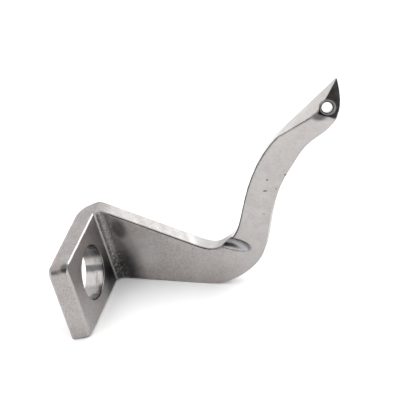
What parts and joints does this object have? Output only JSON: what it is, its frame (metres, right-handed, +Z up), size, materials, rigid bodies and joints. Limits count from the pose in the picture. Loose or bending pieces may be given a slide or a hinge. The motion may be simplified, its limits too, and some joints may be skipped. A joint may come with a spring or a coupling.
{
  "type": "cleat horn",
  "caption": "Cast steel horn for a boat fitting: a bored square flange, a flat arm turned at a right angle to it, and a hook that sweeps up to a ground beak with a lashing hole.",
  "frame": {"origin": "centre of the flange's bore on its mounting face", "axes": "+X out of the flange towards the hook, along the bore; +Y across the flange towards the arm; +Z up, the way the horn rises"},
  "size_m": [0.0896, 0.035, 0.0666],
  "materials": {
    "stainless": "satin, hand polished"
  },
  "bodies": {
    "root": {"mounting_flange": "stainless", "flange_bend": "stainless", "arm": "stainless", "horn": "stainless", "beak": "stainless"}
  },
  "joints": []
}
